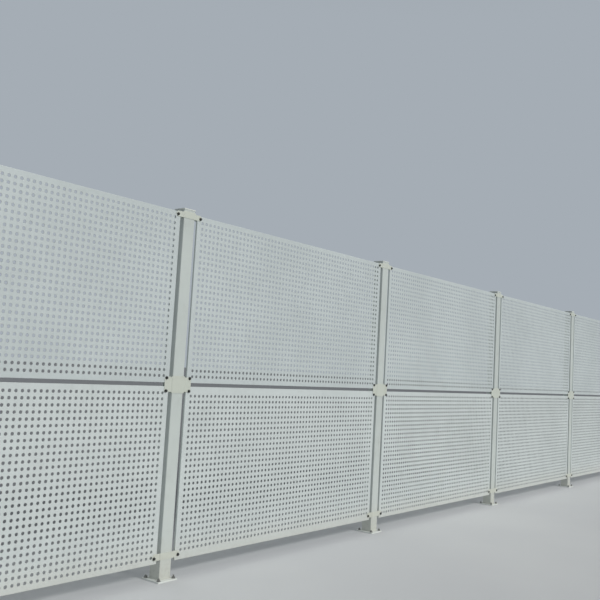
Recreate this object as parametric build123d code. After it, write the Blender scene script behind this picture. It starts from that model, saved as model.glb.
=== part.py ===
from build123d import *
import os

os.makedirs("parts", exist_ok=True)

# ---------------------------------------------------------------- driving dimensions (mm)
BAYS = 5                    # whole bays, one more post than bays
BAY = 2540.0                # post centre to post centre

# square hollow post
POST = 100.0                # outside width and depth
POST_WALL = 2.5
POST_CORNER = 5.0           # outside corner radius
POST_FACE = 4.0             # post front face stands this far in front of the sheet face

# base plate
PLATE = 170.0               # square side
PLATE_T = 10.0
PLATE_CORNER = 6.0
ANCHOR_PITCH = 130.0        # hole spacing, both ways
ANCHOR_HOLE = 14.0          # hole diameter

# cap on the post
CAP = 106.0
CAP_T = 8.0
CAP_CORNER = 4.0

# folded-edge tray panel
SHEET = 1.5                 # sheet thickness
PANEL_W = 2380.0
PANEL_H = 1170.0
TRAY = 15.0                 # depth of the folded edge
LIP = 12.0                  # return lip behind the sheet
FOLD_R = 2.5                # outside radius of the folds

# heights above the underside of the base plates
LOWER_Z = 120.0             # lower edge of the lower panels
TIER_GAP = 25.0             # open gap between the two tiers
POST_TOP = 2510.0

# joggled clips
CLIP_T = 3.0
CLIP_FLAT = 104.0           # width of the flat centre, over the post face
CLIP_SLOPE = 9.0            # width of each joggle
CLIP_W = 238.0              # over both ears
EAR_INSET = 8.0             # ear edges stand back from the centre's upper and lower edges
EAR_CHAMFER = 14.0
MID_H = 116.0
TOP_H = 47.0
TOP_ABOVE = 12.0            # the top clip rises past the panel edge by this
BOTTOM_H = 44.0
BOTTOM_UP = 21.0            # lower edge of the bottom clip above the panel's lower edge

# lugs welded to the post sides, behind the return lips of the panels
LUG_T = 5.0
LUG_REACH = 68.0            # from the post side
LUG_H = 36.0                # at one bolt
LUG_CORNER = 8.0
BOLT_X = 105.0              # clip bolts, from the post axis
BOLT_TOP = 20.0             # below the upper panel's upper edge
BOLT_MID = 44.0             # above and below the middle of the tier gap
BOLT_BOTTOM = 37.0          # above the lower panel's lower edge

# ---------------------------------------------------------------- derived
UPPER_Z = LOWER_Z + PANEL_H + TIER_GAP
PANEL_TOP = UPPER_Z + PANEL_H
FACE_Y = -POST / 2 + POST_FACE      # y of the panels' front face; the post axis is y = 0
POST_X = [i * BAY for i in range(BAYS + 1)]  # the first post's axis is x = 0


def save(node, shape):
    export_step(shape, f"parts/{node}.step", write_pcurves=False)


def square_section(side, corner, hole_side=None, hole_corner=None):
    s = RectangleRounded(side, side, corner)
    if hole_side:
        s = s - RectangleRounded(hole_side, hole_side, hole_corner)
    return s


# ---------------------------------------------------------------- post, base plate, cap
def post():
    section = square_section(
        POST, POST_CORNER, POST - 2 * POST_WALL, POST_CORNER - POST_WALL
    )
    return Pos(0, 0, PLATE_T) * extrude(section, POST_TOP - PLATE_T)


def base_plate():
    section = RectangleRounded(PLATE, PLATE, PLATE_CORNER)
    holes = GridLocations(ANCHOR_PITCH, ANCHOR_PITCH, 2, 2) * Circle(ANCHOR_HOLE / 2)
    return extrude(section - holes, PLATE_T)


def cap():
    return Pos(0, 0, POST_TOP) * extrude(
        RectangleRounded(CAP, CAP, CAP_CORNER), CAP_T
    )


# ---------------------------------------------------------------- tray panel
def tray():
    """Sheet face down on z = 0, folded edges and return lips rising to z = TRAY."""
    shell = extrude(Rectangle(PANEL_W, PANEL_H), TRAY)
    shell = fillet(shell.faces().sort_by(Axis.Z)[0].edges(), FOLD_R)
    inner = Pos(0, 0, SHEET) * extrude(
        Rectangle(PANEL_W - 2 * SHEET, PANEL_H - 2 * SHEET), TRAY - 2 * SHEET
    )
    inner = fillet(inner.faces().sort_by(Axis.Z)[0].edges(), FOLD_R - SHEET)
    mouth = Pos(0, 0, TRAY - SHEET - 1) * extrude(
        Rectangle(PANEL_W - 2 * LIP, PANEL_H - 2 * LIP), SHEET + 2
    )
    return shell - inner - mouth


def upright(panel, x, z):
    """Stands a flat tray up with its sheet face towards -y, its centre at x and lower edge at z."""
    return Pos(x, FACE_Y, z + PANEL_H / 2) * Rot(-90, 0, 0) * panel


# ---------------------------------------------------------------- clips and lugs
def clip_plan(left=True, right=True):
    """Outline seen from above: flat over the post face, joggled back to an ear on the sheet face."""
    f = CLIP_FLAT / 2
    s = f + CLIP_SLOPE
    e = CLIP_W / 2
    front = FACE_Y - POST_FACE - CLIP_T
    ear = FACE_Y - CLIP_T
    a = [(-e, ear), (-s, ear), (-f, front)] if left else [(-f, front)]
    b = [(f, front), (s, ear), (e, ear)] if right else [(f, front)]
    outer = a + b
    inner = [(x, y + CLIP_T) for x, y in reversed(outer)]
    return make_face(Polyline(*(outer + inner), close=True))


def clip_elevation(height, below, above, left=True, right=True):
    """Outline seen from the front, about z = 0: the ears are lower than the centre and chamfered."""
    f = CLIP_FLAT / 2
    s = f + CLIP_SLOPE
    e = CLIP_W / 2
    c = EAR_CHAMFER
    zb, zt = 0.0, height
    eb = EAR_INSET if below else 0.0
    et = height - (EAR_INSET if above else 0.0)
    right_pts = [(f, zb), (s, eb), (e - c, eb), (e, eb + c), (e, et - c), (e - c, et), (s, et), (f, zt)]
    right_flat = [(f, zb), (f, zt)]
    left_pts = [(-x, z) for x, z in reversed(right_pts)]
    left_flat = [(-x, z) for x, z in reversed(right_flat)]
    pts = (right_pts if right else right_flat) + (left_pts if left else left_flat)
    return make_face(Plane.XZ * Polyline(*pts, close=True))


def clip(z, height, left=True, right=True, below=True, above=True):
    bar = extrude(clip_plan(left, right), height)
    outline = clip_elevation(height, below, above, left, right)
    block = extrude(outline, 100, both=True)
    return Pos(0, 0, z) * (bar & block)


def lug(side, z, height):
    """Flat plate on one side of the post; its free corners are cut off. z is its middle."""
    x0, x1 = POST / 2, POST / 2 + LUG_REACH
    h, c = height / 2, LUG_CORNER
    pts = [(x0, -h), (x1 - c, -h), (x1, c - h), (x1, h - c), (x1 - c, h), (x0, h)]
    outline = make_face(Polyline(*[(side * x, v) for x, v in pts], close=True))
    plate = extrude(outline, LUG_T)  # flat on z = 0, stood up below
    return Pos(0, FACE_Y + TRAY + LUG_T, z) * Rot(90, 0, 0) * plate


MID_Z = UPPER_Z - TIER_GAP / 2 - MID_H / 2
TOP_Z = PANEL_TOP + TOP_ABOVE - TOP_H
BOTTOM_Z = LOWER_Z + BOTTOM_UP

LUGS = (
    (PANEL_TOP - BOLT_TOP, LUG_H),
    (UPPER_Z - TIER_GAP / 2, 2 * BOLT_MID + LUG_H - 12),
    (LOWER_Z + BOLT_BOTTOM, LUG_H),
)

# ---------------------------------------------------------------- build
the_post, the_plate, the_cap = post(), base_plate(), cap()
for i, x in enumerate(POST_X, 1):
    at = Pos(x, 0, 0)
    left, right = i > 1, i <= BAYS
    save(f"post_{i}", at * the_post)
    save(f"base_plate_{i}", at * the_plate)
    save(f"post_cap_{i}", at * the_cap)
    clips = [
        clip(TOP_Z, TOP_H, left, right, above=True, below=False),
        clip(MID_Z, MID_H, left, right),
        clip(BOTTOM_Z, BOTTOM_H, left, right, above=False, below=False),
    ]
    save(f"clips_{i}", Compound(children=[at * c for c in clips]))
    sides = [side for side, there in ((-1, left), (1, right)) if there]
    save(
        f"panel_lugs_{i}",
        Compound(children=[at * lug(side, z, h) for side in sides for z, h in LUGS]),
    )

the_tray = tray()
for i in range(1, BAYS + 1):
    x = (POST_X[i - 1] + POST_X[i]) / 2
    save(f"lower_panel_{i}", upright(the_tray, x, LOWER_Z))
    save(f"upper_panel_{i}", upright(the_tray, x, UPPER_Z))
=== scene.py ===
import math

import bmesh
import bpy
import numpy as np
from mathutils import Matrix, Vector


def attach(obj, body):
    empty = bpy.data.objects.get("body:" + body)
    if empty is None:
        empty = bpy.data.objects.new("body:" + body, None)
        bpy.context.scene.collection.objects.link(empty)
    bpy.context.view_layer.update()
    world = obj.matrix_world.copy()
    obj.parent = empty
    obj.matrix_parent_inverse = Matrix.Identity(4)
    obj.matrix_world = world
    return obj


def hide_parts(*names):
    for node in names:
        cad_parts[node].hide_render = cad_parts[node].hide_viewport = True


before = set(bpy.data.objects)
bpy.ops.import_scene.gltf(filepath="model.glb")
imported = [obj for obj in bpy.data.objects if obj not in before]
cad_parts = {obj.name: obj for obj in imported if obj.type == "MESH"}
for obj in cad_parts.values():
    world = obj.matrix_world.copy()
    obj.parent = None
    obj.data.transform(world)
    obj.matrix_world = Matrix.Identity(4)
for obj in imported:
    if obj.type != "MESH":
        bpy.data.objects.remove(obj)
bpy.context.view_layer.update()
scene = bpy.context.scene

# ---------------------------------------------------------------- sizes shared with the frame (metres)
BAYS = 5
BAY = 2.540
POST = 0.100
FACE_Y = -0.046            # front face of the sheets
PANEL_W, PANEL_H = 2.380, 1.170
SHEET = 0.0015
TRAY = 0.015
LIP = 0.012
FOLD_R = 0.0025
HOLE = 0.020
PITCH = 0.040
COLUMNS = 58
ROWS = 28
ROWS_WIDE_EDGE = 27        # the second lower panel: a row less, wider blank strips
LOWER_Z, UPPER_Z = 0.120, 1.315
PANEL_TOP = UPPER_Z + PANEL_H
GAP_Z = 1.3025             # middle of the gap between the tiers
HOLE_SIDES = 10
CLIP_T = 0.003
EAR_Y = FACE_Y - CLIP_T    # front of the clips' ears
LUG_BACK = FACE_Y + TRAY + 0.005
BOLT_X = 0.105
BOLT_ROWS = (
    ("top", PANEL_TOP - 0.020),
    ("mid_upper", GAP_Z + 0.044),
    ("mid_lower", GAP_Z - 0.044),
    ("bottom", LOWER_Z + 0.037),
)
PLATE_T = 0.010
ANCHOR = 0.065
POST_X = [i * BAY for i in range(BAYS + 1)]

# ---------------------------------------------------------------- camera
cam_data = bpy.data.cameras.new("view")
cam_data.sensor_width = 36.0
cam_data.lens = 775.81 / 600 * 36.0
cam_data.clip_start, cam_data.clip_end = 0.05, 900
cam = bpy.data.objects.new("view", cam_data)
scene.collection.objects.link(cam)
yaw, pitch, roll = (math.radians(a) for a in (-51.141, 5.122, -3.214))
turn = Matrix.Rotation(yaw, 3, "Z") @ Matrix.Rotation(pitch, 3, "X") @ Matrix.Rotation(roll, 3, "Y")
right, forward, up = turn.col[0], turn.col[1], turn.col[2]
cam.matrix_world = Matrix((
    (right.x, up.x, -forward.x, -1.1039),
    (right.y, up.y, -forward.y, -4.0106),
    (right.z, up.z, -forward.z, 1.4503),
    (0, 0, 0, 1),
))
scene.camera = cam


# ---------------------------------------------------------------- material helpers
class Nodes:
    """Short names for building a node tree."""

    def __init__(self, name):
        self.mat = bpy.data.materials.new(name)
        self.mat.use_nodes = True
        self.nt = self.mat.node_tree
        self.nt.nodes.clear()
        self.out = self.add("ShaderNodeOutputMaterial")
        self.bsdf = self.add("ShaderNodeBsdfPrincipled")
        self.link(self.bsdf.outputs[0], self.out.inputs[0])

    def add(self, kind, **values):
        n = self.nt.nodes.new(kind)
        for k, v in values.items():
            if k.startswith("in_"):
                key = k[3:]
                n.inputs[int(key) if key.isdigit() else key.replace("_", " ")].default_value = v
            else:
                setattr(n, k, v)
        return n

    def link(self, a, b):
        self.nt.links.new(a, b)

    def noise(self, coords, scale, detail=3.0, rough=0.55, stretch=None, distortion=0.0):
        src = coords
        if stretch:
            m = self.add("ShaderNodeMapping")
            m.inputs["Scale"].default_value = stretch
            self.link(coords, m.inputs["Vector"])
            src = m.outputs[0]
        n = self.add("ShaderNodeTexNoise")
        n.inputs["Scale"].default_value = scale
        n.inputs["Detail"].default_value = detail
        n.inputs["Roughness"].default_value = rough
        n.inputs["Distortion"].default_value = distortion
        self.link(src, n.inputs["Vector"])
        return n.outputs[0]

    def ramp(self, value, lo, hi, out_lo=0.0, out_hi=1.0):
        r = self.add("ShaderNodeMapRange")
        r.interpolation_type = "SMOOTHSTEP"
        r.inputs["From Min"].default_value = lo
        r.inputs["From Max"].default_value = hi
        r.inputs["To Min"].default_value = out_lo
        r.inputs["To Max"].default_value = out_hi
        self.link(value, r.inputs["Value"])
        return r.outputs[0]

    def math(self, op, a, b=None, clamp=False):
        m = self.add("ShaderNodeMath")
        m.operation = op
        m.use_clamp = clamp
        for i, v in enumerate((a, b)):
            if v is None:
                continue
            if isinstance(v, (int, float)):
                m.inputs[i].default_value = v
            else:
                self.link(v, m.inputs[i])
        return m.outputs[0]

    def mix(self, fac, a, b):
        m = self.add("ShaderNodeMix")
        m.data_type = "RGBA"
        m.blend_type = "MIX"
        for sock, v in ((m.inputs[0], fac), (m.inputs[6], a), (m.inputs[7], b)):
            if isinstance(v, (int, float)):
                sock.default_value = v
            elif isinstance(v, (tuple, list)):
                sock.default_value = (*v, 1.0) if len(v) == 3 else v
            else:
                self.link(v, sock)
        return m.outputs[2]

    def bump(self, height, strength, distance, normal=None):
        b = self.add("ShaderNodeBump")
        b.inputs["Strength"].default_value = strength
        b.inputs["Distance"].default_value = distance
        self.link(height, b.inputs["Height"])
        if normal is not None:
            self.link(normal, b.inputs["Normal"])
        return b.outputs[0]


def srgb(r, g, b):
    f = lambda c: (c / 255 / 12.92) if c <= 10.31 else ((c / 255 + 0.055) / 1.055) ** 2.4
    return (f(r), f(g), f(b))


def painted(name, colour, dark, dust, seed, splash=True, rim=False, edges=True, rough=0.42):
    """Weathered off-white coating: broad tone changes, rain streaks, splash dirt low down, darker round hole rims, a
    painted highlight on every edge with edge wear, fine orange peel.
    """
    n = Nodes(name)
    co = n.add("ShaderNodeTexCoord").outputs["Object"]
    shift = n.add("ShaderNodeMapping")
    shift.inputs["Location"].default_value = (seed * 1.7, seed * 0.9, seed * 2.3)
    n.link(co, shift.inputs["Vector"])
    at = shift.outputs[0]
    broad = n.noise(at, 1.3, 4.0, 0.6)
    patch = n.noise(at, 9.0, 5.0, 0.65)
    fine = n.noise(at, 90.0, 3.0, 0.6)
    streak = n.noise(at, 1.0, 4.0, 0.7, stretch=(26.0, 26.0, 0.9))
    base = n.mix(n.ramp(broad, 0.30, 0.72), colour, dark)
    base = n.mix(n.ramp(patch, 0.50, 0.80, 0.0, 0.35), base, dust)
    base = n.mix(n.ramp(streak, 0.56, 0.80, 0.0, 0.30), base, dust)
    base = n.mix(n.ramp(fine, 0.62, 0.82, 0.0, 0.22), base, dark)
    sep = n.add("ShaderNodeSeparateXYZ")
    n.link(co, sep.inputs[0])
    dirt = None
    if splash:
        low = n.ramp(sep.outputs[2], 0.02, 0.34, 1.0, 0.0)
        spots = n.ramp(n.noise(at, 34.0, 6.0, 0.72), 0.44, 0.70)
        dirt = n.math("MULTIPLY", n.math("MULTIPLY", low, low), n.math("ADD", n.math("MULTIPLY", spots, 0.75), 0.25), clamp=True)
        base = n.mix(n.math("MULTIPLY", low, 0.55), base, srgb(214, 212, 199))
        base = n.mix(n.math("MULTIPLY", dirt, 0.20), base, srgb(132, 124, 106))
    if rim:
        # darker round each hole's edge and over the hole walls
        attr = n.add("ShaderNodeAttribute")
        attr.attribute_name = "rim"
        ring = n.ramp(attr.outputs["Fac"], 0.78, 1.0)
        hole_rim_dark = n.math("MULTIPLY", ring, n.ramp(n.noise(at, 22.0, 3.0, 0.6), 0.30, 0.75, 0.12, 0.60))
        base = n.mix(hole_rim_dark, base, srgb(112, 114, 109))
    wear = None
    if edges:
        bev = n.add("ShaderNodeBevel")
        bev.samples = 4
        bev.inputs["Radius"].default_value = 0.0035
        geo = n.add("ShaderNodeNewGeometry")
        dot = n.add("ShaderNodeVectorMath")
        dot.operation = "DOT_PRODUCT"
        n.link(bev.outputs[0], dot.inputs[0])
        n.link(geo.outputs["Normal"], dot.inputs[1])
        edge = n.ramp(dot.outputs["Value"], 0.80, 0.985, 1.0, 0.0)
        chips = n.ramp(n.noise(at, 140.0, 5.0, 0.75), 0.50, 0.66)
        wear = n.math("MULTIPLY", edge, chips, clamp=True)
        # painted highlight: every edge lightened toward near-white, as if it caught the light; the dark chips below
        # are real wear
        base = n.mix(n.math("MULTIPLY", edge, 0.22), base, srgb(236, 238, 233))
        base = n.mix(n.math("MULTIPLY", wear, 0.55), base, srgb(126, 121, 112))
    n.link(base, n.bsdf.inputs["Base Color"])
    r = n.ramp(patch, 0.30, 0.75, rough - 0.08, rough + 0.14)
    r = n.math("ADD", r, n.math("MULTIPLY", n.ramp(fine, 0.4, 0.7), 0.06))
    if dirt is not None:
        r = n.math("ADD", r, n.math("MULTIPLY", dirt, 0.30), clamp=True)
    n.link(r, n.bsdf.inputs["Roughness"])
    peel = n.noise(at, 420.0, 2.0, 0.5)
    wave = n.noise(at, 3.1, 2.0, 0.5)
    nrm = n.bump(peel, 0.10, 0.0006)
    nrm = n.bump(wave, 0.35, 0.004, nrm)
    if wear is not None:
        nrm = n.bump(n.math("MULTIPLY", wear, -1.0), 0.5, 0.0004, nrm)
    n.link(nrm, n.bsdf.inputs["Normal"])
    n.bsdf.inputs["Specular IOR Level"].default_value = 0.42
    return n.mat


def bare(name, colour, dark, rust, metallic, rough, seed, rusty=0.35):
    """Bare or plated fastener metal with dull patches and a little rust."""
    n = Nodes(name)
    co = n.add("ShaderNodeTexCoord").outputs["Object"]
    shift = n.add("ShaderNodeMapping")
    shift.inputs["Location"].default_value = (seed * 2.1, seed * 0.7, seed * 1.3)
    n.link(co, shift.inputs["Vector"])
    at = shift.outputs[0]
    cloud = n.noise(at, 70.0, 4.0, 0.65)
    speck = n.noise(at, 330.0, 4.0, 0.7)
    base = n.mix(n.ramp(cloud, 0.35, 0.68), colour, dark)
    base = n.mix(n.ramp(speck, 0.58, 0.74, 0.0, rusty), base, rust)
    n.link(base, n.bsdf.inputs["Base Color"])
    n.link(n.ramp(cloud, 0.30, 0.75, rough - 0.10, rough + 0.16), n.bsdf.inputs["Roughness"])
    n.bsdf.inputs["Metallic"].default_value = metallic
    n.link(n.bump(speck, 0.35, 0.0005), n.bsdf.inputs["Normal"])
    return n.mat


POST_PAINT = painted("post_paint", srgb(210, 216, 210), srgb(201, 207, 201), srgb(182, 186, 178), 1.0)
# painted light and shade: one sheet paint in a lighter copy for the lower tier and a darker copy for the upper tier
PANEL_PAINT = {
    "lower": painted("panel_paint_lower_painted_light", srgb(217, 223, 220), srgb(208, 214, 211), srgb(190, 195, 191), 2.0, rim=True, edges=False, rough=0.46),
    "upper": painted("panel_paint_upper_painted_shade", srgb(208, 215, 213), srgb(200, 207, 205), srgb(184, 190, 187), 5.0, rim=True, edges=False, rough=0.46),
}
CLIP_PAINT = painted("clip_paint", srgb(216, 220, 208), srgb(207, 211, 198), srgb(184, 185, 171), 3.0, rough=0.40)
BOLT_STEEL = bare("bolt_steel", srgb(72, 73, 71), srgb(46, 47, 46), srgb(92, 66, 48), 0.55, 0.48, 1.0)
NUT_ZINC = bare("nut_zinc", srgb(172, 174, 171), srgb(132, 134, 132), srgb(112, 88, 66), 0.60, 0.44, 2.0)
# painted light: a lighter copy of the post paint for the base plates and caps, whose tops catch the light; no splash
# dirt
PLATE_CAP_PAINTED_LIGHT = painted("plate_cap_paint_painted_light", srgb(233, 236, 230), srgb(224, 227, 220), srgb(196, 196, 184), 6.0, splash=False, rough=0.45)
ANCHOR_STEEL = bare("anchor_steel", srgb(160, 161, 157), srgb(120, 120, 116), srgb(112, 84, 62), 0.55, 0.48, 3.0, rusty=0.45)
WELD = painted("weld_paint", srgb(205, 211, 204), srgb(194, 200, 192), srgb(166, 168, 158), 4.0, edges=False, rough=0.48)


# ---------------------------------------------------------------- mesh helpers
def add_piece(name, mesh, material=None, replaces=()):
    o = bpy.data.objects.new(name, mesh)
    scene.collection.objects.link(o)
    if material is not None:
        mesh.materials.clear()
        mesh.materials.append(material)
    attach(o, "root")
    if replaces:
        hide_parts(*replaces)
    return o


# ---------------------------------------------------------------- perforated tray panels
RING_START = math.pi / HOLE_SIDES


def panel_mesh(name, x0, z0, rows, paint):
    """One sheet with every hole cut through, folded edges and return lips. x0, z0 is the panel's low left corner."""
    n = HOLE_SIDES
    mx = (PANEL_W - (COLUMNS - 1) * PITCH) / 2 - PITCH / 2
    mz = (PANEL_H - (rows - 1) * PITCH) / 2 - PITCH / 2
    gx = np.arange(COLUMNS + 1) * PITCH + mx
    gz = np.arange(rows + 1) * PITCH + mz
    gw, gh = COLUMNS + 1, rows + 1
    verts, uvs, rim, faces = [], [], [], []

    s = 0.400                                   # map units to a metre
    front_at = (0.5 - PANEL_W / 2 * s, 0.752 - PANEL_H / 2 * s)
    back_at = (0.5 - PANEL_W / 2 * s, 0.248 - PANEL_H / 2 * s)

    def put(x, depth, z, uv, r=0.0):
        verts.append((x, depth, z))
        uvs.append(uv)
        rim.append(r)
        return len(verts) - 1

    ang = RING_START + np.arange(n) / n * 2 * math.pi
    cs, sn = np.cos(ang) * HOLE / 2, np.sin(ang) * HOLE / 2
    grid, ring = {}, {}
    for side, depth in (("front", 0.0), ("back", SHEET)):
        ox, oz = front_at if side == "front" else back_at
        g = np.zeros((gh, gw), int)
        for j in range(gh):
            for i in range(gw):
                g[j, i] = put(gx[i], depth, gz[j], (ox + gx[i] * s, oz + gz[j] * s))
        grid[side] = g
        rr = np.zeros((rows, COLUMNS, n), int)
        for j in range(rows):
            cz = gz[j] + PITCH / 2
            for i in range(COLUMNS):
                cx = gx[i] + PITCH / 2
                for k in range(n):
                    x, z = cx + cs[k], cz + sn[k]
                    rr[j, i, k] = put(x, depth, z, (ox + x * s, oz + z * s), 1.0)
        ring[side] = rr
    # each ring side joins the square's corner in its own quarter; one more triangle closes each cell side
    corner = [int(((a + math.pi / n) % (2 * math.pi)) // (math.pi / 2)) for a in ang]   # of the side k to k+1
    # quarter 0 is +x+z, 1 is -x+z, 2 is -x-z, 3 is +x-z
    corner_step = {0: (1, 1), 1: (1, 0), 2: (0, 0), 3: (0, 1)}   # (row, column) step of the corner
    for j in range(rows):
        for i in range(COLUMNS):
            for side in ("front", "back"):
                g, rr = grid[side], ring[side]
                c = [g[j + corner_step[q][0], i + corner_step[q][1]] for q in range(4)]
                tri = []
                for k in range(n):
                    a, b = rr[j, i, k], rr[j, i, (k + 1) % n]
                    tri.append((a, c[corner[k]], b))
                    if corner[(k + 1) % n] != corner[k]:
                        tri.append((b, c[corner[k]], c[corner[(k + 1) % n]]))
                for t in tri:
                    # seen from -y, x runs right and z up: anticlockwise there faces the viewer
                    faces.append(t if side == "front" else t[::-1])
            for k in range(n):
                a, b = ring["front"][j, i, k], ring["front"][j, i, (k + 1) % n]
                p, q = ring["back"][j, i, k], ring["back"][j, i, (k + 1) % n]
                faces.append((a, b, q, p))

    # section through the folded edge: inset from the panel's outside, depth from the sheet face
    def arc(cx, cy, r, a0, a1, steps):
        return [(cx + r * math.cos(a), cy + r * math.sin(a)) for a in np.radians(np.linspace(a0, a1, steps + 1))]

    ri = FOLD_R - SHEET
    rb = 0.0016                                  # small radius of the back fold
    out = (
        arc(FOLD_R, FOLD_R, FOLD_R, 270, 180, 4)
        + arc(rb, TRAY - rb, rb, 180, 90, 2)
        + [(LIP - 0.0003, TRAY), (LIP, TRAY - 0.0003)]
        + [(LIP, TRAY - SHEET + 0.0003), (LIP - 0.0003, TRAY - SHEET)]
        + [(SHEET, TRAY - SHEET)]
        + arc(FOLD_R, FOLD_R, ri, 180, 270, 3)
    )
    loops = []
    for inset, depth in out:
        loop = []
        for qx, qz in ((0, 0), (1, 0), (1, 1), (0, 1)):
            x = inset if not qx else PANEL_W - inset
            z = inset if not qz else PANEL_H - inset
            loop.append((x, depth, z))
        loops.append(loop)
    # vertices of the section, with map strips outside the sheet's own rectangle
    lens = [0.0]
    for m in range(1, len(out)):
        lens.append(lens[-1] + math.hypot(out[m][0] - out[m - 1][0], out[m][1] - out[m - 1][1]))
    total = lens[-1]
    half = total / 2
    idx = []
    for m, loop in enumerate(loops):
        on_front = lens[m] <= half
        ox, oz = front_at if on_front else back_at
        d = (lens[m] if on_front else total - lens[m]) * 0.98 - FOLD_R      # out from the flat sheet
        row = []
        for (x, depth, z), (qx, qz) in zip(loop, ((0, 0), (1, 0), (1, 1), (0, 1))):
            u = ox + ((-d) if not qx else PANEL_W + d) * s
            v = oz + ((-d) if not qz else PANEL_H + d) * s
            row.append(put(x, depth, z, (u, v)))
        idx.append(row)
    seam = next(m for m in range(len(out)) if lens[m] > half)
    # the strip that crosses from the front layout to the back layout gets its own copies of the vertices
    extra = []
    for (x, depth, z), (qx, qz) in zip(loops[seam - 1], ((0, 0), (1, 0), (1, 1), (0, 1))):
        d = (total - lens[seam - 1]) * 0.98 - FOLD_R
        extra.append((back_at[0] + ((-d) if not qx else PANEL_W + d) * s, back_at[1] + ((-d) if not qz else PANEL_H + d) * s))
    seam_uv = {}
    for m in range(len(out) - 1):
        for q in range(4):
            a, b = idx[m][q], idx[m][(q + 1) % 4]
            c, d2 = idx[m + 1][(q + 1) % 4], idx[m + 1][q]
            faces.append((a, b, c, d2)[::-1])
            if m == seam - 1:
                seam_uv[len(faces) - 1] = {a: extra[q], b: extra[(q + 1) % 4]}
    # margins between the grid of cells and the section's first and last loops
    for side, loop, flip in (("front", idx[0], False), ("back", idx[-1], True)):
        g = grid[side]
        edges = (
            ([g[0, i] for i in range(gw)], loop[0], loop[1]),
            ([g[j, gw - 1] for j in range(gh)], loop[1], loop[2]),
            ([g[gh - 1, i] for i in range(gw - 1, -1, -1)], loop[2], loop[3]),
            ([g[j, 0] for j in range(gh - 1, -1, -1)], loop[3], loop[0]),
        )
        for inner, a, b in edges:
            half_n = len(inner) // 2
            tri = [(a, inner[k + 1], inner[k]) for k in range(half_n)]
            tri += [(b, inner[k + 1], inner[k]) for k in range(half_n, len(inner) - 1)]
            tri.append((a, b, inner[half_n]))
            for t in tri:
                faces.append(t[::-1] if flip else t)

    v = np.array(verts)
    world = np.c_[v[:, 0] + x0, v[:, 1] + FACE_Y, v[:, 2] + z0]
    me = bpy.data.meshes.new(name)
    me.from_pydata(world.tolist(), [], [tuple(int(k) for k in f) for f in faces])
    me.update()
    layer = me.uv_layers.new(name="OFBake")
    loop_v = np.zeros(len(me.loops), int)
    me.loops.foreach_get("vertex_index", loop_v)
    uv = np.array(uvs)[loop_v]
    # the inside of each hole is drawn in the empty disc of its own hole
    back_ring = np.zeros(len(verts), bool)
    back_ring[ring["back"].ravel()] = True
    starts = np.zeros(len(me.polygons), int)
    me.polygons.foreach_get("loop_start", starts)
    totals = np.zeros(len(me.polygons), int)
    me.polygons.foreach_get("loop_total", totals)
    cxz = np.zeros((len(verts), 2))
    for j in range(rows):
        for i in range(COLUMNS):
            cxz[ring["back"][j, i]] = (gx[i] + PITCH / 2, gz[j] + PITCH / 2)
    front_ring = np.zeros(len(verts), bool)
    front_ring[ring["front"].ravel()] = True
    wall = np.zeros(len(me.polygons), bool)
    quads = np.where(totals == 4)[0]
    for p in quads:
        ids = loop_v[starts[p]:starts[p] + 4]
        if back_ring[ids].sum() == 2 and front_ring[ids].sum() == 2:
            wall[p] = True
            for t in range(4):
                w = ids[t]
                if back_ring[w]:
                    c = cxz[w]
                    x = c[0] + (v[w, 0] - c[0]) * 0.72
                    z = c[1] + (v[w, 2] - c[1]) * 0.72
                    uv[starts[p] + t] = (front_at[0] + x * s, front_at[1] + z * s)
                # front ring corners keep their own place
    for p, swap in seam_uv.items():
        for t in range(int(totals[p])):
            w = int(loop_v[starts[p] + t])
            if w in swap:
                uv[starts[p] + t] = swap[w]
    layer.data.foreach_set("uv", uv.astype(np.float32).ravel())
    attr = me.attributes.new("rim", "FLOAT", "POINT")
    attr.data.foreach_set("value", np.array(rim, np.float32))
    smooth = np.zeros(len(me.polygons), bool)
    smooth[wall] = True
    me.polygons.foreach_set("use_smooth", smooth)
    edge_sharp(me, 35)
    me.materials.append(paint)
    return me


def edge_sharp(me, degrees):
    """Smooth faces keep a crisp edge where the surface turns by more than this."""
    bm = bmesh.new()
    bm.from_mesh(me)
    limit = math.radians(degrees)
    for e in bm.edges:
        if len(e.link_faces) == 2:
            e.smooth = e.link_faces[0].normal.angle(e.link_faces[1].normal, 0.0) < limit
        else:
            e.smooth = False
    bm.to_mesh(me)
    bm.free()


for i in range(BAYS):
    left = POST_X[i] + (BAY - PANEL_W) / 2
    for tier, z0 in (("lower", LOWER_Z), ("upper", UPPER_Z)):
        rows = ROWS_WIDE_EDGE if (tier, i) == ("lower", 1) else ROWS
        me = panel_mesh(f"{tier}_sheet_{i + 1}", left, z0, rows, PANEL_PAINT[tier])
        add_piece(f"{tier}_sheet_{i + 1}", me, replaces=(f"{tier}_panel_{i + 1}",))


# ---------------------------------------------------------------- carried-over metalwork: soft edges and paint
def soften(o, width, segments=2, angle=35):
    w = o.modifiers.new("weld", "WELD")
    w.merge_threshold = 0.00001
    if not width:
        return
    d = o.modifiers.new("flat", "DECIMATE")
    d.decimate_type = "DISSOLVE"
    d.angle_limit = math.radians(0.5)
    b = o.modifiers.new("edge", "BEVEL")
    b.width = width
    b.segments = segments
    b.limit_method = "ANGLE"
    b.angle_limit = math.radians(angle)
    b.harden_normals = False


def repaint(o, material):
    o.data.materials.clear()
    o.data.materials.append(material)


for i in range(1, BAYS + 2):
    for kind, material, width in (
        ("post", POST_PAINT, 0.0),
        ("base_plate", PLATE_CAP_PAINTED_LIGHT, 0.0012),
        ("post_cap", PLATE_CAP_PAINTED_LIGHT, 0.0014),
        ("clips", CLIP_PAINT, 0.0006),
        ("panel_lugs", POST_PAINT, 0.0007),
    ):
        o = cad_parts[f"{kind}_{i}"]
        repaint(o, material)
        soften(o, width)


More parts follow.
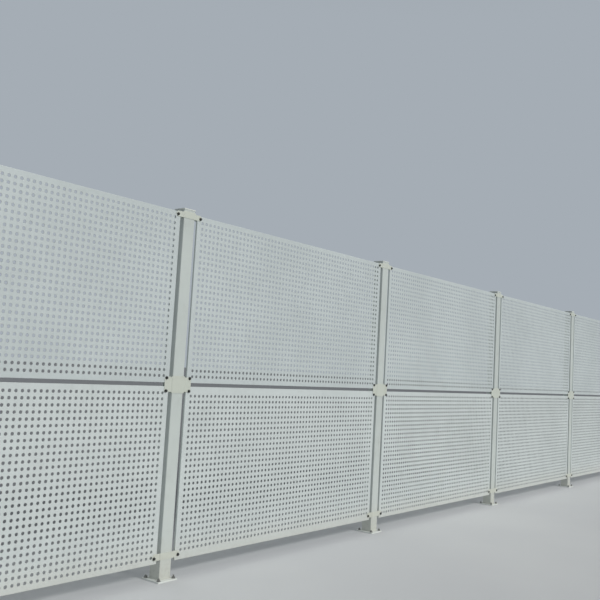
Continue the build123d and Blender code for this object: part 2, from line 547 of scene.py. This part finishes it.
# ---------------------------------------------------------------- fasteners
def lathe(bm, profile, sides, axis="y", close=True):
    """Turns (radius, along) points about the axis through the origin; returns the new vertices."""
    rings = []
    for r, t in profile:
        ring = []
        for k in range(sides):
            a = 2 * math.pi * k / sides
            x, y = r * math.cos(a), r * math.sin(a)
            ring.append(bm.verts.new((x, t, y) if axis == "y" else (x, y, t)))
        rings.append(ring)
    for a, b in zip(rings[:-1], rings[1:]):
        for k in range(sides):
            bm.faces.new((a[k], a[(k + 1) % sides], b[(k + 1) % sides], b[k]))
    if close:
        bm.faces.new(rings[0][::-1])
        bm.faces.new(rings[-1])
    return rings


def hexagon(bm, flats, y0, y1, chamfer, twist=0.0, both=False, axis="y"):
    """Hexagonal prism from y0 to y1 whose outer face (at y1) is turned off round, as bolt heads and nuts are."""
    r = flats / math.sqrt(3)
    n = 24
    inner = flats / 2 * 0.97
    sgn = 1 if y1 > y0 else -1

    def point(k, rad, t):
        a = twist + 2 * math.pi * k / n
        x, z = rad * math.cos(a), rad * math.sin(a)
        return (x, t, z) if axis == "y" else (x, z, t)

    def hexrad(k):
        a = (2 * math.pi * k / n) % (math.pi / 3)
        return (flats / 2) / math.cos(a - math.pi / 6)

    low, high, disc, low_disc = [], [], [], []
    for k in range(n):
        rad = hexrad(k)
        dip = chamfer * (rad - inner) / (r - inner)
        low.append(bm.verts.new(point(k, rad, y0 + (sgn * dip if both else 0.0))))
        high.append(bm.verts.new(point(k, rad, y1 - sgn * dip)))
        disc.append(bm.verts.new(point(k, inner * 0.96, y1)))
        if both:
            low_disc.append(bm.verts.new(point(k, inner * 0.96, y0)))
    for k in range(n):
        q = (k + 1) % n
        bm.faces.new((low[k], low[q], high[q], high[k]))
        bm.faces.new((high[k], high[q], disc[q], disc[k]))
        if both:
            bm.faces.new((low_disc[k], low_disc[q], low[q], low[k]))
    bm.faces.new(disc)
    bm.faces.new((low_disc if both else low)[::-1])


def washer(bm, r_out, r_in, y0, y1, sides=24, axis="y"):
    e = 0.0003 * (1 if y1 > y0 else -1)
    prof = [(r_in, y0), (r_out, y0), (r_out, y1 - e), (r_out - 0.0003, y1), (r_in, y1), (r_in, y0)]
    rings = []
    for r, t in prof[:-1]:
        ring = []
        for k in range(sides):
            a = 2 * math.pi * k / sides
            x, z = r * math.cos(a), r * math.sin(a)
            ring.append(bm.verts.new((x, t, z) if axis == "y" else (x, z, t)))
        rings.append(ring)
    rings.append(rings[0])
    for a, b in zip(rings[:-1], rings[1:]):
        for k in range(sides):
            bm.faces.new((a[k], a[(k + 1) % sides], b[(k + 1) % sides], b[k]))


def finish_mesh(bm, name, smooth_angle=35):
    bmesh.ops.recalc_face_normals(bm, faces=bm.faces)
    me = bpy.data.meshes.new(name)
    bm.to_mesh(me)
    bm.free()
    me.polygons.foreach_set("use_smooth", [True] * len(me.polygons))
    edge_sharp(me, smooth_angle)
    return me


def stamp(bm, template, matrix):
    """Adds a copy of the template mesh, moved by the matrix."""
    part = template.copy()
    part.transform(matrix)
    bm.from_mesh(part)
    bpy.data.meshes.remove(part)


def bolt_front(twist):
    bm = bmesh.new()
    washer(bm, 0.0108, 0.0056, 0.0, -0.0020)
    hexagon(bm, 0.0165, -0.0020, -0.0086, 0.0013, twist)
    return finish_mesh(bm, "bolt_front")


def bolt_rear(twist):
    bm = bmesh.new()
    washer(bm, 0.0108, 0.0056, 0.0, 0.0020)
    hexagon(bm, 0.0165, 0.0020, 0.0102, 0.0013, twist, both=True)
    lathe(bm, [(0.0049, 0.0), (0.0049, 0.0142), (0.0039, 0.0154)], 14)
    return finish_mesh(bm, "bolt_rear")


def shank():
    bm = bmesh.new()
    lathe(bm, [(0.0049, FACE_Y + SHEET), (0.0049, LUG_BACK - 0.005)], 12)
    return finish_mesh(bm, "shank")


def anchor_set(twist, height):
    bm = bmesh.new()
    washer(bm, 0.0140, 0.0068, 0.0, 0.0025, axis="z")
    hexagon(bm, 0.0185, 0.0025, 0.0130, 0.0014, twist, both=True, axis="z")
    prof, t = [(0.0060, 0.0)], 0.0132
    while t < height - 0.002:
        prof += [(0.0060, t), (0.0053, t + 0.0009)]
        t += 0.0018
    prof += [(0.0060, t), (0.0048, height)]
    lathe(bm, prof, 14, axis="z")
    return finish_mesh(bm, "anchor")


def joined(name, stamps, material):
    bm = bmesh.new()
    for template, matrix in stamps:
        stamp(bm, template, matrix)
    me = bpy.data.meshes.new(name)
    bm.to_mesh(me)
    bm.free()
    return add_piece(name, me, material)


fronts = [bolt_front(math.radians(a)) for a in (4, 21, 38, 52)]
rears = [bolt_rear(math.radians(a)) for a in (11, 33, 49)]
shanks = shank()
anchors = [anchor_set(math.radians(a), h) for a, h in ((8, 0.0195), (27, 0.0230), (44, 0.0180))]
count = 0
for i, px in enumerate(POST_X, 1):
    front, rear = [], []
    for side in (-1, 1):
        if (i == 1 and side < 0) or (i == BAYS + 1 and side > 0):
            continue
        for _, z in BOLT_ROWS:
            x = px + side * BOLT_X
            front.append((fronts[(count * 7 + i) % 4], Matrix.Translation((x, EAR_Y, z))))
            rear.append((rears[(count * 5 + i) % 3], Matrix.Translation((x, LUG_BACK, z))))
            rear.append((shanks, Matrix.Translation((x, 0, z))))
            count += 1
    joined(f"clip_bolts_{i}", front, BOLT_STEEL)
    joined(f"clip_nuts_{i}", rear, NUT_ZINC)
    studs = []
    for a, (dx, dy) in enumerate(((-1, -1), (1, -1), (1, 1), (-1, 1))):
        studs.append((anchors[(a * 2 + i) % 3], Matrix.Translation((px + dx * ANCHOR, dy * ANCHOR, PLATE_T))))
    joined(f"anchor_nuts_{i}", studs, ANCHOR_STEEL)


# ---------------------------------------------------------------- welds
def bead(bm, points, size, normals, pitch=0.0032, closed=False):
    """Rippled fillet weld along the points. normals are pairs of directions that the bead spans."""
    pts = [Vector(p) for p in points]
    if closed:
        pts.append(pts[0])
        normals = list(normals) + [normals[0]]
    rings, ring_n = [], 5
    travelled = 0.0
    for a in range(len(pts) - 1):
        seg = pts[a + 1] - pts[a]
        steps = max(2, round(seg.length / pitch))
        for k in range(steps + (1 if a == len(pts) - 2 and not closed else 0)):
            f = k / steps
            p = pts[a] + seg * f
            n1 = (normals[a][0].lerp(normals[a + 1][0], f)).normalized()
            n2 = (normals[a][1].lerp(normals[a + 1][1], f)).normalized()
            travelled += pitch
            swell = 1.0 + 0.10 * math.sin(travelled / pitch * 2.1) + 0.05 * math.sin(travelled * 311.0)
            r = size * swell
            ring = [bm.verts.new(p)]
            for m in range(ring_n):
                t = m / (ring_n - 1) * math.pi / 2
                ring.append(bm.verts.new(p + (n1 * math.cos(t) + n2 * math.sin(t)) * r * (1.0 - 0.12 * math.sin(2 * t))))
            rings.append(ring)
    if closed:
        rings.append(rings[0])
    for a, b in zip(rings[:-1], rings[1:]):
        m = len(a)
        for k in range(m):
            bm.faces.new((a[k], a[(k + 1) % m], b[(k + 1) % m], b[k]))
    if not closed:
        bm.faces.new(rings[0])
        bm.faces.new(rings[-1][::-1])


for i, px in enumerate(POST_X, 1):
    bm = bmesh.new()
    h, c = POST / 2, 0.005
    up_v = Vector((0, 0, 1))
    pts, nrm = [], []
    for qx, qy in ((1, -1), (1, 1), (-1, 1), (-1, -1)):
        base = math.atan2(qy, qx) - math.pi / 4
        for k in range(4):
            a = base + k / 3 * math.pi / 2
            d = Vector((math.cos(a), math.sin(a), 0))
            pts.append(Vector((px + qx * (h - c), qy * (h - c), PLATE_T)) + d * c)
            nrm.append((d, up_v))
    bead(bm, pts, 0.0058, nrm, closed=True)
    for side in (-1, 1):
        if (i == 1 and side < 0) or (i == BAYS + 1 and side > 0):
            continue
        for z, height in ((PANEL_TOP - 0.020, 0.036), (GAP_Z, 0.112), (LOWER_Z + 0.037, 0.036)):
            x = px + side * h
            for y, ny in ((LUG_BACK, 1), (LUG_BACK - 0.005, -1)):
                n1, n2 = Vector((side, 0, 0)), Vector((0, ny, 0))
                a = Vector((x, y, z - height / 2 + 0.003))
                b = Vector((x, y, z + height / 2 - 0.003))
                bead(bm, [a, b], 0.0042, [(n1, n2), (n1, n2)])
    me = finish_mesh(bm, f"welds_{i}", 60)
    add_piece(f"welds_{i}", me, WELD)

for o in list(fronts) + list(rears) + list(anchors) + [shanks]:
    bpy.data.meshes.remove(o)

# ---------------------------------------------------------------- floor and light
floor_me = bpy.data.meshes.new("floor")
FLOOR_REACH, FLOOR_SIDES = 260.0, 96
floor_me.from_pydata(
    [
        (6.35 + FLOOR_REACH * math.cos(2 * math.pi * k / FLOOR_SIDES), FLOOR_REACH * math.sin(2 * math.pi * k / FLOOR_SIDES), 0)
        for k in range(FLOOR_SIDES)
    ],
    [],
    [tuple(range(FLOOR_SIDES))],
)
floor = bpy.data.objects.new("floor", floor_me)
scene.collection.objects.link(floor)
fl = Nodes("floor_pale_painted_shade_behind")
fl_co = fl.add("ShaderNodeTexCoord").outputs["Object"]
fl_sep = fl.add("ShaderNodeSeparateXYZ")             # pale in front; painted shade: an even grey just behind the hoarding, where its shadow falls, and greyer far off
fl.link(fl_co, fl_sep.inputs[0])
fl_x = fl.math("MULTIPLY", fl.math("SUBTRACT", fl_sep.outputs[0], 6.35), 1 / 26.0)
fl_y = fl.math("MULTIPLY", fl.math("ADD", fl_sep.outputs[1], 4.6), 1 / 24.0)
fl_len = fl.math("SQRT", fl.math("ADD", fl.math("MULTIPLY", fl_x, fl_x), fl.math("MULTIPLY", fl_y, fl_y)))
# painted shade: the floor turns grey behind the hoarding so the openings read dark against it; it also turns grey far
# off
fl_shade_behind_and_far = fl.math("MAXIMUM", fl.ramp(fl_sep.outputs[1], -0.45, 2.20), fl.ramp(fl_len, 0.60, 1.60))
fl_tone = fl.mix(fl.ramp(fl.noise(fl_co, 0.35, 3.0), 0.3, 0.7), srgb(219, 220, 219), srgb(213, 214, 214))
fl_tone = fl.mix(fl_shade_behind_and_far, fl_tone, srgb(130, 132, 134))
fl.link(fl_tone, fl.bsdf.inputs["Base Color"])
fl.bsdf.inputs["Roughness"].default_value = 0.9
fl.bsdf.inputs["Specular IOR Level"].default_value = 0.1
floor_me.materials.append(fl.mat)

# plain backdrop: light round the horizon, dimmer overhead
world = bpy.data.worlds.new("studio")
scene.world = world
world.use_nodes = True
wt = world.node_tree
w_co = wt.nodes.new("ShaderNodeTexCoord")
w_sep = wt.nodes.new("ShaderNodeSeparateXYZ")
w_ramp = wt.nodes.new("ShaderNodeMapRange")
w_ramp.interpolation_type = "SMOOTHSTEP"
w_ramp.inputs["From Min"].default_value = 0.42
w_ramp.inputs["From Max"].default_value = 0.80
w_mix = wt.nodes.new("ShaderNodeMix")
w_mix.data_type = "RGBA"
w_mix.inputs[6].default_value = (*srgb(165, 173, 181), 1.0)
w_mix.inputs[7].default_value = (*srgb(56, 59, 62), 1.0)
wt.links.new(w_co.outputs["Generated"], w_sep.inputs[0])
wt.links.new(w_sep.outputs[2], w_ramp.inputs["Value"])
wt.links.new(w_ramp.outputs[0], w_mix.inputs[0])
wt.links.new(w_mix.outputs[2], wt.nodes["Background"].inputs[0])
wt.nodes["Background"].inputs[1].default_value = 1.0


def soft_sun(name, towards, height, strength, spread, colour):
    """Even light over the whole run. towards is the plan direction it comes from, height and spread are in degrees."""
    data = bpy.data.lights.new(name, "SUN")
    data.energy = strength
    data.angle = math.radians(spread)
    data.color = colour
    o = bpy.data.objects.new(name, data)
    scene.collection.objects.link(o)
    plan = Vector((*towards, 0)).normalized() * math.cos(math.radians(height))
    come = Vector((plan.x, plan.y, math.sin(math.radians(height))))
    o.location = Vector((6.35, 0, 1.3)) + come * 12
    o.rotation_mode = "QUATERNION"
    o.rotation_quaternion = (-come).to_track_quat("-Z", "Y")
    return o


soft_sun("key", (0.25, -0.97), 33, 1.48, 14, (1.0, 0.99, 0.975))
soft_sun("fill", (0.15, 0.99), 9, 0.72, 40, (0.97, 0.985, 1.0))
soft_sun("top", (-0.45, -0.89), 76, 0.60, 60, (0.98, 0.99, 1.0))

scene.view_settings.view_transform = "Standard"
scene.view_settings.look = "None"
scene.view_settings.exposure = 0.0
scene.view_settings.gamma = 1.0
